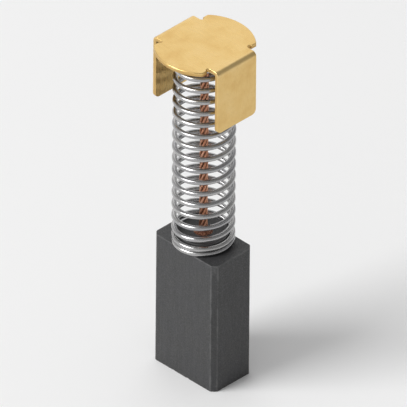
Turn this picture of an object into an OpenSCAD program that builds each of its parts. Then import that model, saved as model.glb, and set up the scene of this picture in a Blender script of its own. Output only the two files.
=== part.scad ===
// Spring-loaded carbon brush: a graphite block, a compression spring round a
// stranded copper shunt, and a folded sheet-metal terminal cap with two ears.
// Millimetres. The block's contact face lies on z = 0, +Z runs up the spring's
// axis, +X is the block's wide direction and the ears fold down at +X and -X.

/* [Carbon block] */
// Width of the block, along X
block_w = 8; // [6.5:0.1:12]
// Thickness of the block, along Y
block_t = 5; // [4.9:0.1:8]
// Height of the block from its contact face to its shoulder
block_h = 14; // [9:0.5:25]
// Chamfer along the four long edges
block_chamfer = 0.45; // [0.1:0.05:0.8]
// Height of the round boss that centres the spring
boss_h = 1.05; // [0.6:0.05:2]
// Diameter of the hole that takes the shunt
shunt_hole_d = 1.8; // [1.4:0.1:2.4]
// Depth of the shunt hole below the boss's top
shunt_hole_depth = 6; // [3:0.5:8]

/* [Spring] */
// Outside diameter of the spring
spring_d = 5.87; // [5:0.01:6]
// Diameter of the spring wire
wire_d = 0.5; // [0.45:0.01:0.6]
// Length of the spring between the block's shoulder and the cap
spring_len = 21.45; // [18:0.5:30]
// Turns of open pitch between the closed ends
open_turns = 15; // [8:1:17]
// Closed turns at each end
closed_turns = 1.7; // [1.25:0.05:2.5]

/* [Shunt] */
// Diameter of one strand
strand_d = 0.26; // [0.16:0.02:0.3]
// Length in which a strand goes once round the core
lay_len = 5.2; // [4:0.2:9]
// Height of the tamping's domed mouth above the boss
tamp_rise = 0.18; // [0.05:0.01:0.4]

/* [Terminal cap] */
// Thickness of the sheet
sheet_t = 0.4; // [0.25:0.05:0.6]
// Diameter of the disc
disc_d = 9.4; // [8.4:0.1:12]
// Distance across the two shoulders that cut the disc, along X
shoulder_span = 6.3; // [5.6:0.1:7]
// Distance across the outer faces of the two ears
ear_span = 8.45; // [7.6:0.05:10]
// Width of an ear
ear_w = 4.95; // [3.5:0.05:6]
// Length of an ear from the cap's top face down to its tip
ear_len = 6.8; // [4:0.1:8]
// Inside radius of the fold
fold_r = 0.05; // [0.05:0.05:0.3]
// Corner radius of the ear's tip
ear_corner_r = 0.5; // [0.2:0.1:1.5]
// Radius of the relief in the corner between ear and shoulder
relief_r = 0.2; // [0.1:0.02:0.3]
// Height of the solder fillet under the disc
solder_h = 0.9; // [0.6:0.1:1.5]

/* [Clearances] */
// Radial clearance between the spring and the boss
seat_clear = 0.05; // [0.04:0.01:0.3]
// Gap left between pieces that bear on or hold each other
touch_clear = 0.02; // [0.01:0.01:0.05]
// Gap between neighbouring strands of the shunt
strand_clear = 0.015; // [0.01:0.005:0.03]

/* [Resolution] */
// Sides of the spring wire's section
wire_sides = 8; // [6:1:10]
// Stations of the spring wire in one turn
wire_stations = 20; // [16:1:24]
// Sides of a strand's section
strand_sides = 6; // [6:1:8]
// Stations of a strand in one turn round the core
strand_stations = 10; // [8:1:12]

/* [Hidden] */
LAY_STRANDS = 6;
$fn = 96;

// Small overlap that lets solids join or cut cleanly
eps = 0.01;

// Levels up the axis
boss_top = block_h + boss_h;
cap_under = block_h + spring_len;
cap_top = cap_under + sheet_t;
hole_floor = boss_top - shunt_hole_depth;

// Spring: radius of the wire's centre line, and the boss that fits inside it
coil_r = (spring_d - wire_d) / 2;
boss_d = spring_d - 2 * wire_d - 2 * seat_clear;

// Spring ends: the centre line starts below the seat, so that the first part
// of the end turn is ground flat, and the closed turns lie a hair apart
grind_depth = 0.15 * wire_d;
closed_pitch = wire_d + touch_clear;
// Part of a turn in which the pitch opens from closed to full
ease_turns = 0.35;
free_height = spring_len - touch_clear;
closed_rise = closed_turns * closed_pitch - grind_depth;
open_pitch = (free_height - 2 * closed_rise - ease_turns * closed_pitch)
    / (open_turns + ease_turns);
total_turns = open_turns + 2 * closed_turns + 2 * ease_turns;
// Angle round the axis at which the wire starts
spring_start = 90;

// Shunt: the strands' circle round the core, and the rope's outside diameter
lay_r = strand_d + strand_clear;
shunt_d = 2 * lay_r + strand_d;
shunt_foot = hole_floor + touch_clear;
shunt_head = cap_under - touch_clear;
shunt_bore_d = shunt_d + 2 * touch_clear;
// Thickness to which the solder's fillet runs out, on the shunt and the disc
solder_skin = 0.08;

// Cap: where the ear's flat root ends and its fold begins
fold_outer_r = fold_r + sheet_t;
fold_x = ear_span / 2 - fold_outer_r;

// ---------------------------------------------------------------- helpers

// Closed skin over a list of rings that all have the same number of points.
// Seen along the direction of the sweep, each ring runs counter-clockwise.
module ring_skin(rings) {
    sides = len(rings[0]);
    last = len(rings) - 1;
    points = [for (ring = rings) each ring];
    walls = [
        for (i = [0 : last - 1], j = [0 : sides - 1])
            let (
                a = i * sides + j,
                b = i * sides + (j + 1) % sides
            )
            each [[a, b, b + sides], [a, b + sides, a + sides]]
    ];
    start = [for (j = [sides - 1 : -1 : 0]) j];
    finish = [for (j = [0 : sides - 1]) last * sides + j];
    polyhedron(points = points, faces = concat([start], walls, [finish]));
}

// Ring of a round section about the point that lies r out from the axis at
// angle a and height z. The section's second axis is the vector across.
function section_ring(r, section_r, sides, a, z, across) =
    let (outward = [cos(a), sin(a), 0])
    [
        for (j = [0 : sides - 1])
            let (t = 360 * (j + 0.5) / sides)
            r * outward + [0, 0, z]
                + section_r * (cos(t) * outward + sin(t) * across)
    ];

// Vector square to a wire that climbs by the given rise per radian, and to
// the line out from the axis.
function square_across(r, a, climb) =
    [sin(a) * climb, -cos(a) * climb, r] / sqrt(r * r + climb * climb);

// Level vector along which a steep strand's section is stretched, so that
// every ring lies flat and the strand's ends are cut square to the axis.
function level_across(r, a, climb) =
    [sin(a), -cos(a), 0] * sqrt(r * r + climb * climb) / climb;

// Height of the spring wire's centre after u turns. The pitch is closed at the
// ends, opens over ease_turns and is even between.
function ease_rise(u) =
    closed_pitch * u + (open_pitch - closed_pitch) * u * u / (2 * ease_turns);

function half_height(u) =
    u < closed_turns ? u * closed_pitch - grind_depth
    : u < closed_turns + ease_turns ? closed_rise + ease_rise(u - closed_turns)
    : closed_rise + ease_rise(ease_turns)
        + (u - closed_turns - ease_turns) * open_pitch;

function wire_height(u) =
    u < total_turns / 2 ? half_height(u)
    : free_height - half_height(total_turns - u);

// ---------------------------------------------------------------- sub-parts

module block_outline() {
    x = block_w / 2;
    y = block_t / 2;
    c = block_chamfer;
    polygon([
        [x - c, -y], [x, -y + c], [x, y - c], [x - c, y],
        [-x + c, y], [-x, y - c], [-x, -y + c], [-x + c, -y]
    ]);
}

module carbon_block() {
    color("#2b2b2d")
    difference() {
        union() {
            linear_extrude(block_h) block_outline();
            cylinder(d = boss_d, h = boss_top);
        }
        translate([0, 0, hole_floor])
            cylinder(d = shunt_hole_d, h = shunt_hole_depth + eps);
    }
}

// Packed copper powder, a sleeve between the hole's wall and the shunt, with
// a mouth that domes up round the shunt.
module tamping_plug() {
    wall_r = shunt_hole_d / 2 - touch_clear;
    dome = [for (t = [15 : 15 : 90]) [
        shunt_bore_d / 2 + (wall_r - shunt_bore_d / 2) * sin(t),
        boss_top + tamp_rise * cos(t)
    ]];
    color("#6d3b23")
    rotate_extrude()
        polygon(concat(
            [[shunt_bore_d / 2, shunt_foot], [shunt_bore_d / 2, boss_top + tamp_rise]],
            dome,
            [[wall_r, shunt_foot]]
        ));
}

module shunt_core() {
    color("#c8794a")
    translate([0, 0, shunt_foot])
        cylinder(d = strand_d, h = shunt_head - shunt_foot, $fn = 32);
}

// One of the strands laid round the core, right-handed, cut square at its ends.
module shunt_strand(i) {
    length = shunt_head - shunt_foot;
    stations = ceil(strand_stations * length / lay_len);
    climb = lay_len / (2 * PI);
    color("#c8794a")
    ring_skin([
        for (s = [0 : stations])
            let (
                z = shunt_foot + length * s / stations,
                a = 360 * ((z - shunt_foot) / lay_len + i / LAY_STRANDS)
            )
            section_ring(lay_r, strand_d / 2, strand_sides, a, z, level_across(lay_r, a, climb))
    ]);
}

// Both ends are ground: what would stand past the seats is flattened.
module spring() {
    stations = ceil(wire_stations * total_turns);
    climb = open_pitch / (2 * PI);
    color("#a9adb2")
    translate([0, 0, block_h])
    ring_skin([
        for (s = [0 : stations])
            let (
                u = total_turns * s / stations,
                a = spring_start + 360 * u,
                across = square_across(coil_r, a, climb),
                ring = section_ring(coil_r, wire_d / 2, wire_sides, a, wire_height(u), across)
            )
            [for (p = ring) [p[0], p[1], min(free_height, max(0, p[2]))]]
    ]);
}

// Flat blank of the cap's top: the disc cut at two shoulders, with the roots
// of both ears standing out past them.
module cap_plan() {
    difference() {
        union() {
            intersection() {
                circle(d = disc_d);
                square([shoulder_span, disc_d], center = true);
            }
            square([2 * fold_x, ear_w], center = true);
        }
        for (sx = [-1, 1], sy = [-1, 1])
            translate([sx * shoulder_span / 2, sy * (ear_w / 2 + relief_r)])
                circle(r = relief_r, $fn = 32);
    }
}

// Section of one ear in its X-Z plane, from the fold's start to the tip.
module ear_section() {
    x = ear_span / 2;
    intersection() {
        difference() {
            translate([fold_x, cap_top - fold_outer_r]) circle(r = fold_outer_r);
            translate([fold_x, cap_top - fold_outer_r]) circle(r = fold_r);
        }
        translate([fold_x, cap_top - fold_outer_r]) square(fold_outer_r);
    }
    translate([x - sheet_t, cap_top - ear_len])
        square([sheet_t, ear_len - fold_outer_r]);
}

// Face-on outline of an ear, with both tip corners rounded.
module ear_face() {
    low = cap_top - ear_len;
    r = ear_corner_r;
    translate([-ear_w / 2, low + r]) square([ear_w, ear_len - r + eps]);
    translate([r - ear_w / 2, low]) square([ear_w - 2 * r, ear_len]);
    for (side = [-1, 1])
        translate([side * (ear_w / 2 - r), low + r]) circle(r = r);
}

module ear() {
    intersection() {
        rotate([90, 0, 0])
            linear_extrude(ear_w, center = true) ear_section();
        rotate([90, 0, 90])
            linear_extrude(ear_span) ear_face();
    }
}

module terminal_cap() {
    color("#d0a546")
    union() {
        translate([0, 0, cap_under])
            linear_extrude(sheet_t) cap_plan();
        ear();
        mirror([1, 0, 0]) ear();
    }
}

// Concave fillet of solder that runs from the disc down onto the shunt.
module solder_joint() {
    inner_r = shunt_bore_d / 2;
    fillet_x = inner_r + solder_skin + solder_h;
    color("#b9bcc0")
    rotate_extrude()
    difference() {
        translate([inner_r, shunt_head - solder_h])
            square([solder_skin + solder_h, solder_h]);
        translate([fillet_x, shunt_head - solder_h - solder_skin])
            circle(r = solder_h);
    }
}

carbon_block();
tamping_plug();
shunt_core();
for (i = [1 : LAY_STRANDS])
    shunt_strand(i);
spring();
terminal_cap();
solder_joint();
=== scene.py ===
"""Looks of a spring-loaded carbon brush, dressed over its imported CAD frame.

Lengths are metres. Places come from the frame's nodes, and the named values
below give what their boxes don't say, such as gauges, radii and turns.
"""

import math

import bmesh
import bpy
import numpy as np
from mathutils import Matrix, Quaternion, Vector, noise


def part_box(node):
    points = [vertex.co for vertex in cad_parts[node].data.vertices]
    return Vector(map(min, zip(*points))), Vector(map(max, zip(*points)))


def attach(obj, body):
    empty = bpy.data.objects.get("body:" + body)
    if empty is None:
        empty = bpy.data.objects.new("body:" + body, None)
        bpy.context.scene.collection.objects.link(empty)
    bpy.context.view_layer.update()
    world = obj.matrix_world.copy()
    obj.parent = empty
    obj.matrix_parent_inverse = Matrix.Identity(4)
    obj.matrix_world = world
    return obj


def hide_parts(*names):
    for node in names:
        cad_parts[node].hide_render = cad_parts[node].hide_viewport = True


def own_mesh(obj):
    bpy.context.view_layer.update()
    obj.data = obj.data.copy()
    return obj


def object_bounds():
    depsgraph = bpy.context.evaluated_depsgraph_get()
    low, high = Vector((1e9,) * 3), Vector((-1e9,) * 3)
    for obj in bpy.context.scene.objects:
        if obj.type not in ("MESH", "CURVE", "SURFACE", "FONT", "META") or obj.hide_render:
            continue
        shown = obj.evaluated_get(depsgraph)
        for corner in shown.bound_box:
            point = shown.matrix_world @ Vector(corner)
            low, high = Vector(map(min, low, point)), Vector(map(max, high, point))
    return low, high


MM = 0.001
TURN = 2 * math.pi

# ------------------------------------------------------------------- frame

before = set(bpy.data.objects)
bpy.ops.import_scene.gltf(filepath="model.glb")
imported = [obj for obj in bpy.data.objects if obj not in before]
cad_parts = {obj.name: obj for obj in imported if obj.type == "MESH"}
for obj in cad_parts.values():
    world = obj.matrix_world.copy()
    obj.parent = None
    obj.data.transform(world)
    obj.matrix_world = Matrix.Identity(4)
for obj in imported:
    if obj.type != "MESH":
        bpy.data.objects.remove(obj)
cad_low, cad_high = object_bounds()

block_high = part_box("carbon_block")[1]
plug_low, plug_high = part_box("tamping_plug")
core_low, core_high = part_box("shunt_core")
spring_low, spring_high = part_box("spring")
cap_low, cap_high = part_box("terminal_cap")
solder_low, solder_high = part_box("solder_joint")

# Clearances
SEAT_CLEAR = 0.05 * MM
TOUCH_CLEAR = 0.02 * MM
STRAND_CLEAR = 0.015 * MM
ROPE_CLEAR = 0.004 * MM

# Graphite block
BLOCK_CHAMFER = 0.45 * MM
SHOULDER_Z = spring_low.z
BOSS_TOP_Z = block_high.z
SHUNT_HOLE_R = plug_high.x + TOUCH_CLEAR
HOLE_FLOOR_Z = plug_low.z - TOUCH_CLEAR

# Spring wire
SPRING_D = 5.87 * MM
WIRE_D = 0.5 * MM
BOSS_R = SPRING_D / 2 - WIRE_D - SEAT_CLEAR
OPEN_TURNS = 15
CLOSED_TURNS = 1.7
EASE_TURNS = 0.35
SPRING_TURNS = OPEN_TURNS + 2 * CLOSED_TURNS + 2 * EASE_TURNS
CLOSED_PITCH = WIRE_D + TOUCH_CLEAR
GRIND_DEPTH = 0.15 * WIRE_D
SPRING_START = TURN / 4

# Shunt rope: six strands laid round a core, each a bunch of fine wires
STRAND_D = 0.26 * MM
LAY_R = STRAND_D + STRAND_CLEAR
LAY_LEN = 5.2 * MM
LAY_STRANDS = 6
ROPE_R = LAY_R + STRAND_D / 2
ROPE_BORE_R = ROPE_R + ROPE_CLEAR
FINE_D = STRAND_D / 3
FINE_LAY_LEN = 1.9 * MM
FINE_LAID = 6

# Cap sheet
SHEET_T = 0.4 * MM
SHOULDER_X = 3.15 * MM
EAR_HALF_W = 2.475 * MM
EAR_CORNER_R = 0.5 * MM
RELIEF_R = 0.2 * MM
FOLD_R = 0.05 * MM


# ----------------------------------------------------------- mesh building

# Points closer than this are one point
SAME_POINT = 1e-5 * MM
# How far each seed shifts the noise along X, Y and Z
SEED_SHIFT = (7.3, 3.1, 5.7)


def loft_faces(rows, cols):
    """Quads that join rows of cols points each, closed round every row."""
    faces = []
    for i in range(rows - 1):
        for j in range(cols):
            k = (j + 1) % cols
            faces.append((i * cols + j, i * cols + k, (i + 1) * cols + k, (i + 1) * cols + j))
    return faces


def loft(rings):
    """Points and faces of a closed skin over an array of rings, capped at both ends."""
    rows, cols = rings.shape[:2]
    faces = loft_faces(rows, cols)
    faces.append(tuple(range(cols - 1, -1, -1)))
    faces.append(tuple((rows - 1) * cols + j for j in range(cols)))
    return rings.reshape(-1, 3), faces


def several_lofts(skins):
    """Several closed skins as one list of points and one of faces."""
    points, faces, start = [], [], 0
    for rings in skins:
        some, their_faces = loft(rings)
        points.append(some)
        faces += [tuple(v + start for v in f) for f in their_faces]
        start += len(some)
    return np.concatenate(points), faces


def lathe(profile, cols):
    """Rings of a profile turned round +Z, given as (radius, height) pairs from one end to the other."""
    angles = np.arange(cols) * TURN / cols
    ring = np.column_stack([np.cos(angles), np.sin(angles)])
    return np.array([np.column_stack([ring * r, np.full(cols, z)]) for r, z in profile])


def ring_body(profile, cols):
    """Points and faces of a turned ring, whose profile closes on itself."""
    rings = lathe(profile, cols)
    rows = len(rings)
    faces = loft_faces(rows, cols)
    last = (rows - 1) * cols
    faces += [(last + j, last + (j + 1) % cols, (j + 1) % cols, j) for j in range(cols)]
    return rings.reshape(-1, 3), faces


def helix(a, r, climb, z):
    """Centres of a helix at angles a and heights z, and the two axes of its section at each: outward, and
    square to both that and the helix. climb is the rise in one radian."""
    outward = np.column_stack([np.cos(a), np.sin(a), 0 * a])
    across = np.column_stack([np.sin(a) * climb, -np.cos(a) * climb, 0 * a + r]) / math.hypot(r, climb)
    return outward * r + np.column_stack([0 * a, 0 * a, z]), outward, across


def noise_at(points, per_mm, seed):
    """Smooth noise, about -1 to 1, at each point. per_mm is its waves in a millimetre."""
    shift = Vector([seed * step for step in SEED_SHIFT])
    scale = per_mm / MM
    return np.array([noise.noise(Vector(p) * scale + shift) for p in points])


def mesh_from(name, points, faces):
    """A mesh of the points and faces."""
    mesh = bpy.data.meshes.new(name)
    mesh.from_pydata(np.asarray(points).tolist(), [], faces)
    return mesh


def set_attribute(mesh, name, values):
    """Stores one number or one vector for each point of the mesh."""
    values = np.asarray(values, np.float32)
    if values.ndim == 1:
        mesh.attributes.new(name, "FLOAT", "POINT").data.foreach_set("value", values)
    else:
        mesh.attributes.new(name, "FLOAT_VECTOR", "POINT").data.foreach_set("vector", values.ravel())


def finish_mesh(mesh, sharp_deg):
    """No empty faces, outward normals, and smooth shading that breaks at sharp edges."""
    bm = bmesh.new()
    bm.from_mesh(mesh)
    bmesh.ops.dissolve_degenerate(bm, dist=SAME_POINT, edges=bm.edges)
    bmesh.ops.recalc_face_normals(bm, faces=bm.faces)
    if bm.calc_volume(signed=True) < 0:
        bmesh.ops.reverse_faces(bm, faces=bm.faces)
    bm.to_mesh(mesh)
    bm.free()
    mesh.shade_smooth()
    mesh.set_sharp_from_angle(angle=math.radians(sharp_deg))


def new_object(name, data):
    """A new object in the scene that holds the data."""
    made = bpy.data.objects.new(name, data)
    bpy.context.scene.collection.objects.link(made)
    return made


def add_piece(name, mesh, material, body, node, sharp_deg):
    """Puts a finished mesh on its body, where it stands for a CAD node."""
    finish_mesh(mesh, sharp_deg)
    mesh.materials.append(material)
    piece = new_object(name, mesh)
    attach(piece, body)
    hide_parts(node)
    return piece


# ---------------------------------------------------------- graphite block

RIM_R = 0.06 * MM
LONG_EDGE_R = 0.16 * MM
ARC_POINTS = 5
FINE_STEP = 0.05 * MM
FINE_BAND = 0.5 * MM
COARSE_STEP = 0.2 * MM
BOSS_WALL_ROWS = 12
BOSS_TOP_ROWS = 18
# Size of the polygon that closes the contact face, as a share of the face
FACE_HUB = 0.01
# Both parts of a section's normal are longer than this on the long chamfers only
DIAGONAL = 0.6
# Down a long chamfer, distance from the top counts for this share of itself, so the paler edge colour
# reaches further down there as a painted highlight
CHAMFER_HIGHLIGHT_SHARE = 0.09
# Distance given to points that lie far from every edge
FAR_OFF = 1.0

CHIP_SEED = 5
CHIP_RADII = (0.05 * MM, 0.2 * MM)
CHIP_EVERY = 1.6 * MM
# The higher this power, the rarer the large chips
CHIP_BIAS = 2.2
# How far outside its edge a chip's centre lies, in radii
CHIP_OUT = (0.25, 0.7)
# Slope of that way out on the edges of both ends, and how near the end an edge lies, as a share
CHIP_SLOPE = 0.8
CHIP_END = 0.01
# Waves in a millimetre and depth of the noise that makes a chip uneven, and its fading to the rim
CHIP_WAVES = 14.0
CHIP_RAGGED = 0.22
CHIP_FADE = 0.6


def graded(length):
    """Shares along a length, close together near both ends and wider apart in the middle."""
    band = min(FINE_BAND, length / 2)
    near = np.linspace(0, band, max(2, round(band / FINE_STEP)) + 1)
    middle = length - 2 * band
    inner = band + middle * np.linspace(0, 1, max(1, round(middle / COARSE_STEP)) + 1)
    return np.unique(np.round(np.concatenate([near, inner, length - near]) / length, 9))


def block_corners():
    """Corners of the block's chamfered section, counter-clockwise."""
    x, y, c = block_high.x, block_high.y, BLOCK_CHAMFER
    right = [(x, -y + c), (x, y - c), (x - c, y)]
    left = [(-px, -py) for px, py in right]
    return np.array([(x - c, -y), *right, (-x + c, y), *left])


def block_outline():
    """Points round the block's section with softened corners, their outward normals, and how far each
    lies from the nearest corner."""
    corners = block_corners()
    count = len(corners)
    sides = np.roll(corners, -1, axis=0) - corners
    along = sides / np.linalg.norm(sides, axis=1)[:, None]
    normals = np.stack([along[:, 1], -along[:, 0]], axis=1)

    def centre(i):
        """Centre of the arc that softens a corner."""
        before, after = normals[i - 1], normals[i % count]
        return corners[i % count] - LONG_EDGE_R * (before + after) / (1 + before @ after)

    half_arc = LONG_EDGE_R * TURN / 16
    points, outward, from_corner = [], [], []
    for i in range(count):
        before, after = normals[i - 1], normals[i]
        for s in np.linspace(0, 1, ARC_POINTS):
            n = before * (1 - s) + after * s
            n /= np.linalg.norm(n)
            points.append(centre(i) + LONG_EDGE_R * n)
            outward.append(n)
            from_corner.append(half_arc * abs(2 * s - 1))
        start = points[-1]
        end = centre((i + 1) % count) + LONG_EDGE_R * after
        span = np.linalg.norm(end - start)
        for share in graded(span)[1:-1]:
            points.append(start + (end - start) * share)
            outward.append(after)
            from_corner.append(half_arc + span * min(share, 1 - share))
    return np.array(points), np.array(outward), np.array(from_corner)


def block_rows(outline, outward, from_corner):
    """Rings from the middle of the contact face, up the sides, over the shoulder and boss, and down the
    shunt hole, with the distance of each point from the nearest edge."""
    rings, edges = [], []
    count = len(outline)
    around = outline / np.linalg.norm(outline, axis=1)[:, None]
    half_rim = RIM_R * TURN / 8

    def add(flat, z, edge):
        """A ring at one height. Its distance is from where the nearest rounding ends."""
        rings.append(np.column_stack([flat, np.full(count, z)]))
        edges.append(np.broadcast_to(edge + half_rim, count))

    def round_over(flat_at, z, swing):
        """Rings over a rounded edge, through the angles of the swing."""
        for a in np.radians(np.linspace(*swing, ARC_POINTS)):
            add(flat_at(math.cos(a)), z + RIM_R * math.sin(a), -half_rim * abs(math.sin(2 * a)))

    rim = outline - outward * RIM_R
    reach = np.linalg.norm(rim, axis=1)
    for share in 2 * graded(2 * reach.mean()) - 1:
        if FACE_HUB < share < 1:
            add(rim * share, 0.0, reach * (1 - share))
    round_over(lambda c: rim + outward * RIM_R * c, RIM_R, (-90, 0))

    low, high = RIM_R, SHOULDER_Z - RIM_R
    on_chamfer = np.abs(outward).min(axis=1) > DIAGONAL
    for share in graded(high - low)[1:-1]:
        z = low + (high - low) * share
        # On the long chamfers the distance from the top is shortened, so the paler edge colour reaches
        # down there as a painted highlight
        from_top = (high - z) * np.where(on_chamfer, CHAMFER_HIGHLIGHT_SHARE, 1.0)
        add(outline, z, np.minimum(np.minimum(from_corner - half_rim, z - low), from_top))
    round_over(lambda c: rim + outward * RIM_R * c, high, (0, 90))

    boss = around * BOSS_R
    gap = np.linalg.norm(rim - boss, axis=1)
    for share in graded(gap.mean())[1:]:
        add(rim + (boss - rim) * share, SHOULDER_Z, gap * share)
    wall_top = BOSS_TOP_Z - RIM_R
    for z in np.linspace(SHOULDER_Z, wall_top, BOSS_WALL_ROWS)[1:-1]:
        add(boss, z, wall_top - z)
    round_over(lambda c: around * (BOSS_R - RIM_R + RIM_R * c), wall_top, (0, 90))

    outer, inner = BOSS_R - RIM_R, SHUNT_HOLE_R + RIM_R
    for r in np.linspace(outer, inner, BOSS_TOP_ROWS)[1:-1]:
        add(around * r, BOSS_TOP_Z, min(outer - r, r - inner))
    round_over(lambda c: around * (inner - RIM_R * c), wall_top, (90, 0))
    add(around * SHUNT_HOLE_R, HOLE_FLOOR_Z, FAR_OFF)
    return np.array(rings), np.array(edges)


def edge_lines():
    """The block's sharp edges as (start, end) pairs."""
    corners = block_corners()
    lines = []
    for (ax, ay), (bx, by) in zip(corners, np.roll(corners, -1, axis=0), strict=True):
        for z in (0.0, SHOULDER_Z):
            lines.append((np.array([ax, ay, z]), np.array([bx, by, z])))
        lines.append((np.array([ax, ay, 0.0]), np.array([ax, ay, SHOULDER_Z])))
    return lines


def chip_edges(points):
    """Scoops small chips out of the sharp edges. Returns the points and how chipped each is, 0 to 1."""
    rng = np.random.default_rng(CHIP_SEED)
    chipped = np.zeros(len(points))
    middle = np.array([0, 0, SHOULDER_Z / 2])
    ragged = 1 + CHIP_RAGGED * noise_at(points, CHIP_WAVES, seed=4)
    small, large = CHIP_RADII
    for start, end in edge_lines():
        for _ in range(rng.poisson(np.linalg.norm(end - start) / CHIP_EVERY)):
            r = small + (large - small) * rng.uniform() ** CHIP_BIAS
            centre = start + (end - start) * rng.uniform()
            away = (centre - middle) * np.array([1, 1, 0])
            away /= np.linalg.norm(away)
            if centre[2] > SHOULDER_Z * (1 - CHIP_END):
                away[2] = CHIP_SLOPE
            elif centre[2] < SHOULDER_Z * CHIP_END:
                away[2] = -CHIP_SLOPE
            centre = centre + away / np.linalg.norm(away) * r * rng.uniform(*CHIP_OUT)
            offset = points - centre
            far = np.linalg.norm(offset, axis=1)
            reach = r * ragged
            inside = far < reach
            pushed = centre + offset / far[:, None] * reach[:, None]
            points = np.where(inside[:, None], pushed, points)
            chipped = np.maximum(chipped, np.where(inside, 1 - far / reach * CHIP_FADE, 0))
    return points, chipped


def carbon_block(material):
    """Pressed graphite with softened edges, small chips, a round boss and a blind shunt hole."""
    rings, edges = block_rows(*block_outline())
    points, faces = loft(rings)
    points, chipped = chip_edges(points)
    mesh = mesh_from("carbon_block", points, faces)
    set_attribute(mesh, "edge", np.minimum(edges.ravel() / MM, 1.0))
    set_attribute(mesh, "chip", chipped)
    add_piece("carbon_block_ground", mesh, material, "brush", "carbon_block", sharp_deg=50)


# ------------------------------------------------- tamped plug and solder

TURNED_COLS = 120

# At its mouth the powder fills in between the strands as far as this radius, and this deep
TAMP_LIP_R = 0.68 * ROPE_R
TAMP_LIP_DEPTH = 0.3 * MM
TAMP_ROWS = 20
# The smooth dome is sunk a little, and grains stand up from it by this much at the most
TAMP_SINK = 0.03 * MM
GRAIN_HEIGHT = 0.045 * MM
GRAIN_CLIP = (-1, 0.6)

# Thickness of the fillet where it thins out on the rope
FEATHER = 0.015 * MM
FILLET_STEPS = 25
# Height of the fillet's rim under the disc, and how far it tucks in half way up and at the top
SOLDER_RIM = 0.06 * MM
SOLDER_RIM_TUCK = (0.02 * MM, 0.05 * MM)
# How unevenly the foot is drawn up
SOLDER_RAGGED = 0.07 * MM
# The skin is sunk by noise, by this share of its radius for each unit. The noise stays above -1.3
SOLDER_DIP = 0.025
NOISE_LEAST = -1.3


def tamping_plug(material):
    """Copper powder tamped round the shunt. Its grainy domed mouth fills in between the strands."""
    wall = plug_high.x
    rise = plug_high.z - BOSS_TOP_Z
    lip_z = BOSS_TOP_Z - TAMP_LIP_DEPTH
    foot = [(ROPE_BORE_R, plug_low.z), (wall, plug_low.z), (wall, lip_z)]
    mouth = []
    for s in np.linspace(0, 1, TAMP_ROWS):
        dome = BOSS_TOP_Z + rise * math.sin(s * TURN / 4) - TAMP_SINK
        mouth.append((wall + (TAMP_LIP_R - wall) * s, dome))
    lip = [(TAMP_LIP_R, lip_z), (ROPE_BORE_R, lip_z)]
    points, faces = ring_body(foot + mouth + lip, TURNED_COLS)
    on_mouth = points[:, 2] > BOSS_TOP_Z - TAMP_LIP_DEPTH / 2
    coarse, fine = noise_at(points, 7.0, seed=5), noise_at(points, 16.0, seed=6)
    grains = 0.6 * coarse + 0.4 * fine
    points[:, 2] += np.clip(grains, *GRAIN_CLIP) * GRAIN_HEIGHT * on_mouth
    mesh = mesh_from("tamping_plug", points, faces)
    add_piece("tamping_grains", mesh, material, "brush", "tamping_plug", sharp_deg=60)


def solder_joint(material):
    """Solder that has drawn down from the disc onto the shunt in a hollow fillet."""
    top, low = solder_high.z, solder_low.z
    rim_low = top - SOLDER_RIM
    reach = solder_high.x - ROPE_BORE_R - FEATHER
    profile = [(ROPE_BORE_R, top), (ROPE_BORE_R, low), (ROPE_BORE_R + FEATHER / 2, low)]
    for s in np.linspace(0, TURN / 4, FILLET_STEPS + 1)[1:]:
        drop = (top - low - SOLDER_RIM) * (1 - math.sin(s))
        profile.append((ROPE_BORE_R + FEATHER + reach * (1 - math.cos(s)), rim_low - drop))
    for tuck, z in zip(SOLDER_RIM_TUCK, (top - SOLDER_RIM / 2, top), strict=True):
        profile.append((solder_high.x - tuck, z))
    points, faces = ring_body(profile, TURNED_COLS)
    around = np.arctan2(points[:, 1], points[:, 0])
    down = np.clip((top - points[:, 2]) / (top - low), 0, 1)
    waves = np.sin(3 * around + 0.7) + 0.6 * np.sin(5 * around + 2.0)
    points[:, 2] += np.clip(SOLDER_RAGGED * waves * down**2, 0, None)
    on_skin = np.hypot(points[:, 0], points[:, 1]) > ROPE_BORE_R + 2 * FEATHER
    swell = noise_at(points, 1.2, seed=8) + 0.3 * noise_at(points, 5.0, seed=9)
    points[:, :2] *= (1 - SOLDER_DIP * (swell - NOISE_LEAST) * on_skin)[:, None]
    mesh = mesh_from("solder_joint", points, faces)
    add_piece("solder_fillet", mesh, material, "terminal", "solder_joint", sharp_deg=50)


# ------------------------------------------------------------------ spring

# Stations in a turn and points round the wire
SPRING_STATIONS = 88
SPRING_SIDES = 24
# A ground arc is never narrower than this many radians
LEAST_ARC = 1e-9


def spring_heights(stations):
    """Turns wound so far and the height of the wire's centre above the shoulder, at each station, then
    the pitch of the open turns and the whole height."""
    height = spring_high.z - spring_low.z
    closed_rise = CLOSED_TURNS * CLOSED_PITCH - GRIND_DEPTH
    pitch = (height - 2 * closed_rise - EASE_TURNS * CLOSED_PITCH) / (OPEN_TURNS + EASE_TURNS)

    def half(u):
        """Height after u turns, up to half way. The pitch opens evenly over the easing turns."""
        eased = np.clip(u - CLOSED_TURNS, 0, EASE_TURNS)
        opened = np.clip(u - CLOSED_TURNS - EASE_TURNS, 0, None)
        closed = np.minimum(u, CLOSED_TURNS) * CLOSED_PITCH - GRIND_DEPTH
        ease = CLOSED_PITCH * eased + (pitch - CLOSED_PITCH) * eased**2 / (2 * EASE_TURNS)
        return closed + ease + opened * pitch

    u = np.linspace(0, SPRING_TURNS, stations)
    z = np.where(u < SPRING_TURNS / 2, half(u), height - half(SPRING_TURNS - u))
    return u, z, pitch, height


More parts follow.
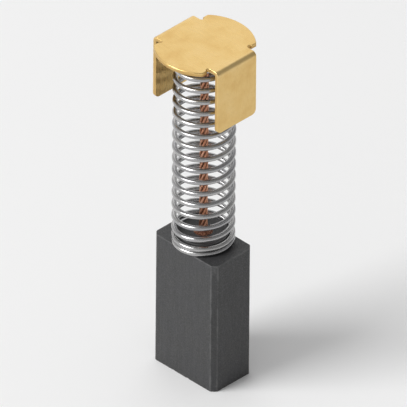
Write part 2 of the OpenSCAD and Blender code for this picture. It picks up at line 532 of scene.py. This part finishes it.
def grind(section, t, level, side):
    """Flattens the round sections where they pass a level, above it for side 1 and below it for side -1.
    Each section has its own level. Returns which points were ground."""
    r = WIRE_D / 2
    level = np.clip(level, -r, r)[:, None]
    cut = np.maximum(TURN / 4 - np.arcsin(side * level / r), LEAST_ARC)
    from_pole = (t - side * TURN / 4 + TURN / 2) % TURN - TURN / 2
    past = np.abs(from_pole) < cut
    chord = np.sqrt(r * r - level**2)
    section[:, :, 0] = np.where(past, -side * chord * np.sin(from_pole / cut * TURN / 4), section[:, :, 0])
    section[:, :, 1] = np.where(past, level, section[:, :, 1])
    return past


def spring(material):
    """Round wire wound on a closed and ground helix."""
    u, z, pitch, height = spring_heights(round(SPRING_TURNS * SPRING_STATIONS))
    coil_r = (SPRING_D - WIRE_D) / 2
    climb = pitch / TURN
    centre, outward, across = helix(SPRING_START + TURN * u, coil_r, climb, z + spring_low.z)
    t = (np.arange(SPRING_SIDES) + 0.5) * TURN / SPRING_SIDES
    section = np.stack([np.cos(t), np.sin(t)], axis=-1) * WIRE_D / 2 * np.ones((len(u), 1, 1))
    run = math.hypot(coil_r, climb)
    ground = grind(section, t, -z * run / coil_r, -1)
    ground |= grind(section, t, (height - z) * run / coil_r, 1)
    rings = centre[:, None] + section[:, :, :1] * outward[:, None] + section[:, :, 1:] * across[:, None]
    points, faces = loft(rings)
    mesh = mesh_from("spring", points, faces)
    length = np.repeat(TURN * coil_r * u / MM, SPRING_SIDES)
    side = np.tile(t, len(u))
    set_attribute(mesh, "wire", np.column_stack([np.cos(side), np.sin(side), length]))
    set_attribute(mesh, "ground", ground.ravel())
    piece = add_piece("spring_wire", mesh, material, "brush", "spring", sharp_deg=40)
    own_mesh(piece)


# ------------------------------------------------------------------- shunt

# Stations in one lay of the fine wires and points round a wire
FINE_STATIONS = 15
FINE_SIDES = 8
# Radius of a fine wire's lay in wire diameters, and how far it strays round it in radians
FINE_LAY_R = (0.93, 1.03)
FINE_STRAY = 0.08
SHUNT_SEED = 11

# Tin shows on the strands for this far under the joint, and between them just inside it
WICK_LEN = 1.1 * MM
WICK_SET_IN = 0.04 * MM
WICK_R = 0.95 * ROPE_R
WICK_FOOT_R = 0.9 * ROPE_R
WICK_COLS = 48
WICK_TONE = 0.5


def strand_path(index, z):
    """Centres and section axes of one strand at heights z. Strand 0 is the straight core."""
    if index == 0:
        centre = np.column_stack([0 * z, 0 * z, z])
        return centre, np.tile([1.0, 0, 0], (len(z), 1)), np.tile([0, -1.0, 0], (len(z), 1))
    a = TURN * ((z - core_low.z) / LAY_LEN + index / LAY_STRANDS)
    return helix(a, LAY_R, LAY_LEN / TURN, z)


def strand_wires(index, rng):
    """Rings of every fine wire in one strand: a straight one and six twisted round it, against the
    rope's own lay. All are cut off flat."""
    stations = round((core_high.z - core_low.z) / FINE_LAY_LEN * FINE_STATIONS)
    z = np.linspace(core_low.z, core_high.z, stations)
    turns = (z - core_low.z) / FINE_LAY_LEN
    centre, outward, across = strand_path(index, z)
    t = np.arange(FINE_SIDES) * TURN / FINE_SIDES
    skins = []
    for wire in range(1 + FINE_LAID):
        r = 0.0 if wire == 0 else FINE_D * rng.uniform(*FINE_LAY_R)
        b = TURN * (turns + wire / FINE_LAID) + rng.uniform(-FINE_STRAY, FINE_STRAY)
        middle = centre + r * (np.cos(b)[:, None] * outward + np.sin(b)[:, None] * across)
        section = np.cos(t)[None, :, None] * outward[:, None] + np.sin(t)[None, :, None] * across[:, None]
        rings = middle[:, None] + FINE_D / 2 * section
        along = np.gradient(middle, z, axis=0)
        for end in (0, -1):
            rings[end] += (z[end] - rings[end][:, 2:]) * along[end]
        skins.append(rings)
    return skins


def wicked_tin():
    """Rings of the solder that has crept in between the strands, just inside the joint."""
    foot = solder_low.z + WICK_SET_IN
    profile = [(WICK_FOOT_R, foot), (WICK_R, foot + 2 * WICK_SET_IN), (WICK_R, core_high.z)]
    return lathe(profile, WICK_COLS)


def shunt(material):
    """Seven strands, each its own piece."""
    rng = np.random.default_rng(SHUNT_SEED)
    nodes = ["shunt_core"] + [f"shunt_strand_{i}" for i in range(1, LAY_STRANDS + 1)]
    for index, node in enumerate(nodes):
        skins = strand_wires(index, rng)
        tones = rng.uniform(0, 1, len(skins))
        if index == 0:
            skins.append(wicked_tin())
            tones = np.append(tones, WICK_TONE)
        points, faces = several_lofts(skins)
        mesh = mesh_from(node, points, faces)
        set_attribute(mesh, "tone", np.repeat(tones, [rings.size // 3 for rings in skins]))
        set_attribute(mesh, "crown", np.hypot(points[:, 0], points[:, 1]) / ROPE_R)
        set_attribute(mesh, "tinned", np.clip(1 - (solder_low.z - points[:, 2]) / WICK_LEN, 0, 1))
        piece = add_piece(f"{node}_wires", mesh, material, "brush", node, sharp_deg=70)
        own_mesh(piece)


# ------------------------------------------------------------ terminal cap

# Rounding of the sheet's upper and lower rim, the flat strip beside each, and rows over each
TOP_ROUND = 0.08 * MM
TOP_ROUND_ROWS = 6
UNDER_ROUND = 0.025 * MM
UNDER_ROUND_ROWS = 4
EDGE_MARGIN = 0.03 * MM

# Softening of the corner between shoulder and disc, and its places along the curve
SHOULDER_SOFT = 0.12 * MM
SHOULDER_SHARES = (0.0, 0.25, 0.5, 0.75)
DISC_STEPS = 40
EAR_CORNER_STEPS = 10
RELIEF_STEPS = 14
FOLD_CUTS = 12

FOLD_OUTER_R = FOLD_R + SHEET_T
FOLD_MID_R = FOLD_R + SHEET_T / 2
FOLD_X = cap_high.x - FOLD_OUTER_R
FOLD_LEN = FOLD_MID_R * TURN / 4
BLANK_TIP_X = FOLD_X + FOLD_LEN + (cap_high.z - cap_low.z) - FOLD_OUTER_R


def arc(centre, r, start_deg, end_deg, steps):
    """Points along an arc."""
    angles = np.radians(np.linspace(start_deg, end_deg, steps + 1))
    return [(centre[0] + r * math.cos(a), centre[1] + r * math.sin(a)) for a in angles]


def blank_quarter():
    """Outline of the unfolded blank from +X round to +Y: ear tip, bend relief, shoulder and disc."""
    tip_centre = (BLANK_TIP_X - EAR_CORNER_R, EAR_HALF_W - EAR_CORNER_R)
    tip = arc(tip_centre, EAR_CORNER_R, 0, 90, EAR_CORNER_STEPS)
    relief_centre = (SHOULDER_X, EAR_HALF_W + RELIEF_R)
    relief = arc(relief_centre, RELIEF_R, -90, -270, RELIEF_STEPS)
    disc_r = cap_high.y
    shoulder_y = math.sqrt(disc_r**2 - SHOULDER_X**2)
    start_deg = math.degrees(math.atan2(shoulder_y, SHOULDER_X) + SHOULDER_SOFT / disc_r)
    disc = arc((0, 0), disc_r, start_deg, 90, DISC_STEPS)
    before = np.array([SHOULDER_X, shoulder_y - SHOULDER_SOFT])
    corner = np.array([SHOULDER_X, shoulder_y])
    after = np.array(disc[0])
    bend_highlight_and_wear = []
    for s in SHOULDER_SHARES:
        bend_highlight_and_wear.append(tuple((1 - s) ** 2 * before + 2 * s * (1 - s) * corner + s * s * after))
    return tip + relief + bend_highlight_and_wear + disc


def blank_outline():
    """The whole blank's outline, counter-clockwise."""
    quarter = blank_quarter()
    second = [(-x, y) for x, y in reversed(quarter[:-1])]
    half = quarter + second
    return np.array(half + [(-x, -y) for x, y in half])


def inset(outline, distance):
    """The outline moved inward by the distance at every point."""
    forward = np.roll(outline, -1, axis=0) - outline
    forward /= np.linalg.norm(forward, axis=1)[:, None]
    back = np.roll(forward, 1, axis=0)
    n1 = np.stack([forward[:, 1], -forward[:, 0]], axis=1)
    n2 = np.stack([back[:, 1], -back[:, 0]], axis=1)
    mitre = (n1 + n2) / (1 + np.sum(n1 * n2, axis=1))[:, None]
    return outline - mitre * distance


def blank_rings():
    """Rings round the blank's rim, from its top face over both edges to its underside. Heights are over
    the sheet's middle."""
    outline = blank_outline()
    half = SHEET_T / 2
    rings = [(inset(outline, TOP_ROUND + EDGE_MARGIN), half)]
    for s in np.linspace(0, TURN / 4, TOP_ROUND_ROWS):
        upper = inset(outline, TOP_ROUND * (1 - math.sin(s)))
        rings.append((upper, half - TOP_ROUND * (1 - math.cos(s))))
    rings.append((outline, half - TOP_ROUND - EDGE_MARGIN))
    rings.append((outline, -half + UNDER_ROUND + EDGE_MARGIN))
    for s in np.linspace(0, TURN / 4, UNDER_ROUND_ROWS):
        lower = inset(outline, UNDER_ROUND * (1 - math.cos(s)))
        rings.append((lower, -half + UNDER_ROUND * (1 - math.sin(s))))
    rings.append((inset(outline, UNDER_ROUND + EDGE_MARGIN), -half))
    return np.array([np.column_stack([flat, np.full(len(flat), h)]) for flat, h in rings])


def fold(co):
    """Where a point of the blank lies once the ears are folded down."""
    side = math.copysign(1, co.x)
    past = abs(co.x) - FOLD_X
    if past <= 0:
        return Vector((co.x, co.y, cap_high.z - SHEET_T / 2 + co.z))
    turned = min(past / FOLD_LEN, 1) * TURN / 4
    r = FOLD_MID_R + co.z
    x = FOLD_X + r * math.sin(turned)
    z = cap_high.z - FOLD_OUTER_R + r * math.cos(turned) - max(past - FOLD_LEN, 0)
    return Vector((side * x, co.y, z))


def terminal_cap(material):
    """One stamped sheet, cut across at every step of both folds and then bent."""
    points, faces = loft(blank_rings())
    bm = bmesh.new()
    verts = [bm.verts.new(p) for p in points]
    for f in faces:
        bm.faces.new([verts[i] for i in f])
    for side in (-1, 1):
        for i in range(FOLD_CUTS + 1):
            bmesh.ops.bisect_plane(
                bm,
                geom=bm.verts[:] + bm.edges[:] + bm.faces[:],
                plane_co=(side * (FOLD_X + FOLD_LEN * i / FOLD_CUTS), 0, 0),
                plane_no=(1, 0, 0),
                dist=SAME_POINT,
            )
    blank = bm.verts.layers.float_vector.new("blank")
    for v in bm.verts:
        v[blank] = v.co / MM
        v.co = fold(v.co)
    mesh = bpy.data.meshes.new("terminal_cap")
    bm.to_mesh(mesh)
    bm.free()
    add_piece(
        "terminal_cap_sheet", mesh, material, "terminal", "terminal_cap", sharp_deg=40
    )


# --------------------------------------------------------------- materials

# Most of a noise texture's values lie between these two
NOISE_BAND = (0.3, 0.7)
# A Mix node's sockets for colours
MIX_A, MIX_B, MIX_RESULT = 6, 7, 2


def rgb(red, green, blue):
    """A linear colour."""
    return (red, green, blue, 1.0)


def grey(value):
    """A linear grey."""
    return rgb(value, value, value)


def shader_node(tree, kind, inputs, **settings):
    """Adds a shader node, with its inputs given as values or as the outputs that feed them."""
    made = tree.nodes.new("ShaderNode" + kind)
    for key, value in settings.items():
        setattr(made, key, value)
    for key, value in inputs.items():
        if isinstance(value, bpy.types.NodeSocket):
            tree.links.new(value, made.inputs[key])
        else:
            made.inputs[key].default_value = value
    return made


def new_material(name, metallic, **constants):
    """A material, its node tree and its Principled shader with the constant sockets set."""
    material = bpy.data.materials.new(name)
    material.use_nodes = True
    tree = material.node_tree
    shader = tree.nodes["Principled BSDF"]
    shader.inputs["Metallic"].default_value = metallic
    for key, value in constants.items():
        shader.inputs[key.replace("_", " ")].default_value = value
    return material, tree, shader


def feed(tree, shader, **outputs):
    """Links outputs to the shader's sockets, such as Base_Color."""
    for key, output in outputs.items():
        tree.links.new(output, shader.inputs[key.replace("_", " ")])


def calc(tree, operation, a, b=0.0):
    """One step of arithmetic."""
    return shader_node(tree, "Math", {0: a, 1: b}, operation=operation).outputs[0]


def times(tree, a, b):
    """The product of two values."""
    return calc(tree, "MULTIPLY", a, b)


def plus(tree, first, *others):
    """The sum of all the values."""
    for other in others:
        first = calc(tree, "ADD", first, other)
    return first


def vector_calc(tree, operation, a, b=(0, 0, 0), output="Vector"):
    """One step of vector arithmetic."""
    return shader_node(tree, "VectorMath", {0: a, 1: b}, operation=operation).outputs[output]


def parts(tree, vector):
    """The X, Y and Z of a vector."""
    return shader_node(tree, "SeparateXYZ", {0: vector}).outputs


def channel(tree, colour, index):
    """One channel of a colour."""
    return shader_node(tree, "SeparateColor", {0: colour}).outputs[index]


def spread(tree, factor, low, high, start=0.0, end=1.0):
    """Takes a value from the range start to end into the range low to high, and keeps it there."""
    ends = {"From Min": start, "From Max": end, "To Min": low, "To Max": high}
    return shader_node(tree, "MapRange", {"Value": factor, **ends}).outputs["Result"]


def ramp(tree, factor, *stops):
    """A colour ramp. Each stop is (position, colour)."""
    made = shader_node(tree, "ValToRGB", {"Fac": factor})
    elements = made.color_ramp.elements
    while len(elements) < len(stops):
        elements.new(1.0)
    for element, (position, colour) in zip(elements, stops, strict=True):
        element.position = position
        element.color = colour
    return made.outputs["Color"]


def layered(tree, colour, *layers):
    """The colour with others laid over it in turn. Each layer is (how much of it shows, its colour)."""
    for factor, over in layers:
        inputs = {0: factor, MIX_A: colour, MIX_B: over}
        colour = shader_node(tree, "Mix", inputs, data_type="RGBA").outputs[MIX_RESULT]
    return colour


def bump(tree, height, depth, below=None):
    """A bump of the given depth in metres, over the bump below if there is one."""
    inputs = {"Height": height, "Distance": depth, "Strength": 1.0}
    if below is not None:
        inputs["Normal"] = below
    return shader_node(tree, "Bump", inputs).outputs["Normal"]


def millimetres(tree, stretch=(1, 1, 1)):
    """Object coordinates in millimetres, each axis multiplied by its stretch."""
    coords = shader_node(tree, "TexCoord", {}).outputs["Object"]
    return vector_calc(tree, "MULTIPLY", coords, tuple(s / MM for s in stretch))


def stored(tree, name, output):
    """A value or vector that the mesh stores for each point."""
    return shader_node(tree, "Attribute", {}, attribute_name=name).outputs[output]


def stretched(tree, name, stretch):
    """A stored vector, each axis multiplied by its stretch."""
    return vector_calc(tree, "MULTIPLY", stored(tree, name, "Vector"), stretch)


def noise_tex(tree, vector, scale, detail=2.0, rough=0.5):
    """Noise, 0 to 1, with scale waves in one unit of the vector."""
    inputs = {"Vector": vector, "Scale": scale, "Detail": detail, "Roughness": rough}
    return shader_node(tree, "TexNoise", inputs).outputs["Fac"]


def cells(tree, vector, scale):
    """Random cells: the outputs Color, one to each, and Distance, from each one's middle."""
    return shader_node(tree, "TexVoronoi", {"Vector": vector, "Scale": scale}).outputs


def tipped_normal(tree, colour, tilt):
    """The surface normal, tipped by a random colour, so that flakes glint one by one."""
    lean = vector_calc(tree, "SUBTRACT", colour, (0.5, 0.5, 0.5))
    lean = vector_calc(tree, "MULTIPLY", lean, (tilt, tilt, tilt))
    normal = shader_node(tree, "NewGeometry", {}).outputs["Normal"]
    return vector_calc(tree, "NORMALIZE", vector_calc(tree, "ADD", normal, lean))


def graphite():
    """Baked carbon: nearly black, with flakes that glint, sparse specks painted in as glints, ground lines
    up the sides, and edges rubbed paler, which reach down the top of the long chamfers as a painted
    highlight."""
    material, tree, shader = new_material("graphite", 0.0, Specular_IOR_Level=0.42)
    place = millimetres(tree)
    grain = noise_tex(tree, place, 9.0, detail=5.0, rough=0.7)
    lines = noise_tex(tree, millimetres(tree, (1, 1, 0.03)), 12.0, detail=4.0, rough=0.7)
    drag = noise_tex(tree, millimetres(tree, (1, 1, 0.05)), 3.2, detail=3.0, rough=0.6)
    cloud = noise_tex(tree, place, 0.4, detail=3.0)
    flakes = cells(tree, place, 15.0)["Color"]
    glint = spread(tree, channel(tree, flakes, 0), 0.0, 1.0, 0.8, 1.0)
    # Sparse lighter specks painted into the colour as glints
    glint_speck_cells = cells(tree, place, 4.2)
    chosen = spread(tree, channel(tree, glint_speck_cells["Color"], 1), 0.0, 1.0, 0.88, 0.95)
    painted_glint_speck = times(tree, chosen, spread(tree, glint_speck_cells["Distance"], 1.0, 0.0, 0.12, 0.3))
    ragged = times(tree, plus(tree, grain, -0.5), 0.3)
    patchy = spread(tree, noise_tex(tree, place, 0.9), -0.03, 0.05, 0.35, 0.65)
    from_edge = plus(tree, stored(tree, "edge", "Fac"), ragged, patchy)
    # Paler near every edge as wear, and down the top of the long chamfers as a painted highlight
    edge_wear_and_highlight = spread(tree, from_edge, 1.0, 0.0, 0.02, 0.1)
    chip = stored(tree, "chip", "Fac")
    colour = layered(
        tree,
        ramp(tree, grain, (0.3, grey(0.026)), (0.7, grey(0.054))),
        (spread(tree, cloud, 0.0, 0.6, *NOISE_BAND), rgb(0.045, 0.046, 0.05)),
        (spread(tree, drag, 0.35, 0.0, 0.35, 0.6), grey(0.02)),
        (times(tree, glint, 0.35), grey(0.11)),
        (times(tree, painted_glint_speck, 0.4), grey(0.14)),
        (times(tree, edge_wear_and_highlight, 0.5), grey(0.15)),
        (times(tree, chip, 0.6), grey(0.055)),
    )
    rough = plus(
        tree,
        spread(tree, lines, 0.36, 0.56, *NOISE_BAND),
        spread(tree, cloud, -0.04, 0.08),
        times(tree, chip, 0.3),
        times(tree, glint, -0.1),
    )
    normal = bump(tree, lines, 0.01 * MM, tipped_normal(tree, flakes, 0.35))
    normal = bump(tree, grain, 0.01 * MM, normal)
    feed(tree, shader, Base_Color=colour, Roughness=rough, Normal=normal)
    return material


def brass():
    """Rolled brass sheet: fine rolling lines that follow the fold, soft stains, a bend that is rougher as
    worked metal and paler as a painted highlight, and a sheared rim."""
    material, tree, shader = new_material("brass_sheet", 1.0)
    sheet = stored(tree, "blank", "Vector")
    streaks = noise_tex(tree, stretched(tree, "blank", (0.12, 7.0, 2.0)), 2.2, detail=5.0, rough=0.7)
    tears = noise_tex(tree, stretched(tree, "blank", (1, 1, 0.12)), 11.0, detail=3.0)
    stain = noise_tex(tree, sheet, 0.4, detail=4.0, rough=0.6)
    mottle = noise_tex(tree, sheet, 3.0, detail=3.0)
    x, _, z = parts(tree, sheet)
    # The sheared rim runs from the underside up to a ragged line past the sheet's middle
    under = -SHEET_T / 2 / MM
    over_face = spread(tree, z, 0.0, 1.0, under + 0.005, under + 0.03)
    ragged = times(tree, plus(tree, mottle, -0.5), 0.09)
    rim = times(tree, over_face, spread(tree, plus(tree, z, ragged), 1.0, 0.0, 0.02, 0.06))
    from_bend = plus(tree, calc(tree, "ABSOLUTE", x), -(FOLD_X + FOLD_LEN / 2) / MM)
    # Across the fold: rougher as worked metal, and paler in colour as a painted highlight
    bend_highlight_and_wear = spread(tree, calc(tree, "ABSOLUTE", from_bend), 1.0, 0.0, 0.1, 0.35)
    dull, plain, bright = rgb(0.7, 0.46, 0.165), rgb(0.78, 0.55, 0.22), rgb(0.82, 0.6, 0.27)
    colour = layered(
        tree,
        ramp(tree, stain, (0.3, dull), (0.5, plain), (0.75, bright)),
        (spread(tree, mottle, 0.0, 0.35), rgb(0.62, 0.39, 0.14)),
        # The fold paler: a painted highlight
        (times(tree, bend_highlight_and_wear, 0.25), rgb(0.88, 0.68, 0.35)),
        (times(tree, rim, 0.5), rgb(0.5, 0.31, 0.11)),
    )
    rough = plus(
        tree,
        spread(tree, streaks, 0.2, 0.34, *NOISE_BAND),
        spread(tree, stain, 0.06, 0.0),
        times(tree, bend_highlight_and_wear, 0.06),
        times(tree, rim, 0.2),
    )
    normal = bump(tree, streaks, 0.004 * MM)
    normal = bump(tree, times(tree, tears, rim), 0.014 * MM, normal)
    normal = bump(tree, stain, 0.02 * MM, normal)
    feed(tree, shader, Base_Color=colour, Roughness=rough, Normal=normal)
    return material


def steel():
    """Bright drawn spring wire with faint die lines along it and dull ground ends."""
    material, tree, shader = new_material("spring_steel", 1.0)
    lines = noise_tex(tree, stretched(tree, "wire", (1, 1, 0.03)), 5.5, detail=4.0, rough=0.7)
    tint = noise_tex(tree, stretched(tree, "wire", (0.3, 0.3, 0.12)), 1.0, detail=3.0)
    ground = times(tree, stored(tree, "ground", "Fac"), 0.25)
    feed(
        tree,
        shader,
        Base_Color=ramp(tree, tint, (0.3, rgb(0.35, 0.35, 0.36)), (0.7, rgb(0.49, 0.485, 0.475))),
        Roughness=plus(tree, spread(tree, lines, 0.16, 0.3, *NOISE_BAND), ground),
        Normal=bump(tree, lines, 0.004 * MM),
    )
    return material


def copper():
    """Bare fine copper wire, each a little brighter or duller than its neighbours, darkened in the grooves
    between strands as painted shade and oxide, and tinned near the joint."""
    material, tree, shader = new_material("bare_copper", 1.0)
    tarnish = noise_tex(tree, millimetres(tree), 1.4, detail=3.0)
    # Darker towards the rope's middle: painted shade between the strands, and oxide there
    groove_shade_and_oxide = spread(tree, stored(tree, "crown", "Fac"), 0.85, 0.0, 0.72, 0.96)
    tin_edge = plus(tree, stored(tree, "tinned", "Fac"), spread(tree, tarnish, -0.5, 0.5))
    dull, plain, bright = rgb(0.68, 0.31, 0.18), rgb(0.86, 0.45, 0.29), rgb(0.94, 0.56, 0.39)
    colour = layered(
        tree,
        ramp(tree, stored(tree, "tone", "Fac"), (0.0, dull), (0.6, plain), (1.0, bright)),
        (spread(tree, tarnish, 0.0, 0.4, 0.45, 0.75), rgb(0.45, 0.2, 0.12)),
        (groove_shade_and_oxide, rgb(0.16, 0.06, 0.035)),
        (spread(tree, tin_edge, 0.0, 1.0, 0.35, 0.75), grey(0.56)),
    )
    feed(tree, shader, Base_Color=colour, Roughness=spread(tree, tarnish, 0.2, 0.38))
    return material


def copper_powder():
    """Tamped powder: dark, granular, with metal glints."""
    material, tree, shader = new_material("copper_powder", 0.75)
    grains = cells(tree, millimetres(tree), 13.0)
    tint = channel(tree, grains["Color"], 0)
    dark, plain, bright = rgb(0.09, 0.04, 0.028), rgb(0.26, 0.11, 0.065), rgb(0.55, 0.27, 0.17)
    feed(
        tree,
        shader,
        Base_Color=ramp(tree, tint, (0.0, dark), (0.7, plain), (1.0, bright)),
        Roughness=spread(tree, tint, 0.62, 0.38),
        Normal=bump(tree, grains["Distance"], 0.03 * MM),
    )
    return material


def solder():
    """Tin solder, smooth with a slightly frosted skin."""
    material, tree, shader = new_material("tin_solder", 1.0)
    frost = noise_tex(tree, millimetres(tree), 4.0, detail=4.0)
    feed(
        tree,
        shader,
        Base_Color=ramp(tree, frost, (0.3, grey(0.52)), (0.7, grey(0.68))),
        Roughness=spread(tree, frost, 0.22, 0.45),
        Normal=bump(tree, frost, 0.008 * MM),
    )
    return material


# ------------------------------------------------------------------- stage

FLOOR_SIZE = 6.0
FLOOR_GAP = 0.01 * MM
FLOOR_GREY = 0.92
# The world below the horizon is as bright as the lit floor
BELOW_GREY = 0.86
# The side on which the surround is dimmer
DIM_SIDE = (0.9, 0.44, 0.0)

# An isometric view: parallel, and down the diagonal of a cube
VIEW_AZIMUTH = 45.0
VIEW_ELEVATION = math.degrees(math.asin(1 / math.sqrt(3)))
VIEW_ROLL = 0.5
VIEW_HEIGHT = 37.14 * MM
VIEW_TARGET = Vector((0, 0, SHOULDER_Z + 4.02 * MM))
VIEW_DISTANCE = 0.25
VIEW_CLIP = (MM, 2.0)
MIDDLE = (cad_low + cad_high) / 2


def from_angles(azimuth, elevation):
    """Unit vector from the object towards a viewer or light. Azimuth 0 stands at -Y and 90 at +X."""
    a, e = math.radians(azimuth), math.radians(elevation)
    return Vector((math.sin(a) * math.cos(e), -math.cos(a) * math.cos(e), math.sin(e)))


def aim(made, target, azimuth, elevation, distance, roll=0.0):
    """Sets a camera or light at a distance from its target, and turns it to look there."""
    back = from_angles(azimuth, elevation)
    made.location = target + back * distance
    made.rotation_mode = "QUATERNION"
    turned = Quaternion((0, 0, 1), math.radians(roll))
    made.rotation_quaternion = (-back).to_track_quat("-Z", "Y") @ turned


def camera():
    """The camera, parallel and at the isometric angle."""
    data = bpy.data.cameras.new("camera")
    data.type = "ORTHO"
    data.ortho_scale = VIEW_HEIGHT
    data.clip_start, data.clip_end = VIEW_CLIP
    made = new_object("camera", data)
    aim(made, VIEW_TARGET, VIEW_AZIMUTH, VIEW_ELEVATION, VIEW_DISTANCE, VIEW_ROLL)
    bpy.context.scene.camera = made


def pale_floor():
    """A wide matte floor just under the contact face."""
    look = {"Base_Color": grey(FLOOR_GREY), "Roughness": 1.0, "Specular_IOR_Level": 0.0}
    material = new_material("pale_floor", 0.0, **look)[0]
    half = FLOOR_SIZE / 2
    square = ((-half, -half), (half, -half), (half, half), (-half, half))
    corners = [(x, y, -FLOOR_GAP) for x, y in square]
    mesh = mesh_from("floor", corners, [(0, 1, 2, 3)])
    mesh.materials.append(material)
    new_object("floor", mesh)


def pale_world():
    """A plain pale surround: bright at the horizon, greyer overhead, dimmer to one side, and like the
    floor below."""
    world = bpy.data.worlds.new("studio")
    bpy.context.scene.world = world
    world.use_nodes = True
    tree = world.node_tree
    direction = shader_node(tree, "TexCoord", {}).outputs["Generated"]
    up = parts(tree, direction)[2]
    side = vector_calc(tree, "DOT_PRODUCT", direction, DIM_SIDE, output="Value")
    colour = layered(
        tree,
        ramp(tree, up, (0.0, grey(0.95)), (0.3, grey(0.62)), (1.0, grey(0.36))),
        (spread(tree, side, 0.0, 0.6, -0.2, 0.9), grey(0.2)),
        (spread(tree, up, 1.0, 0.0, -0.02, -0.01), grey(BELOW_GREY)),
    )
    feed(tree, tree.nodes["Background"], Color=colour)


def soft_light(name, azimuth, elevation, distance, size, watts):
    """A square soft light that looks at the object's middle."""
    data = bpy.data.lights.new(name, "AREA")
    data.size = size
    data.energy = watts
    aim(new_object(name, data), MIDDLE, azimuth, elevation, distance)


# -------------------------------------------------------------------- make

camera()
pale_floor()
pale_world()
soft_light("key", azimuth=-25, elevation=37, distance=1.6, size=0.9, watts=20.8)
soft_light("top_back", azimuth=-135, elevation=36, distance=1.6, size=1.4, watts=3.8)

carbon_block(graphite())
tamping_plug(copper_powder())
spring(steel())
shunt(copper())
terminal_cap(brass())
solder_joint(solder())

bpy.context.scene.view_settings.view_transform = "Standard"
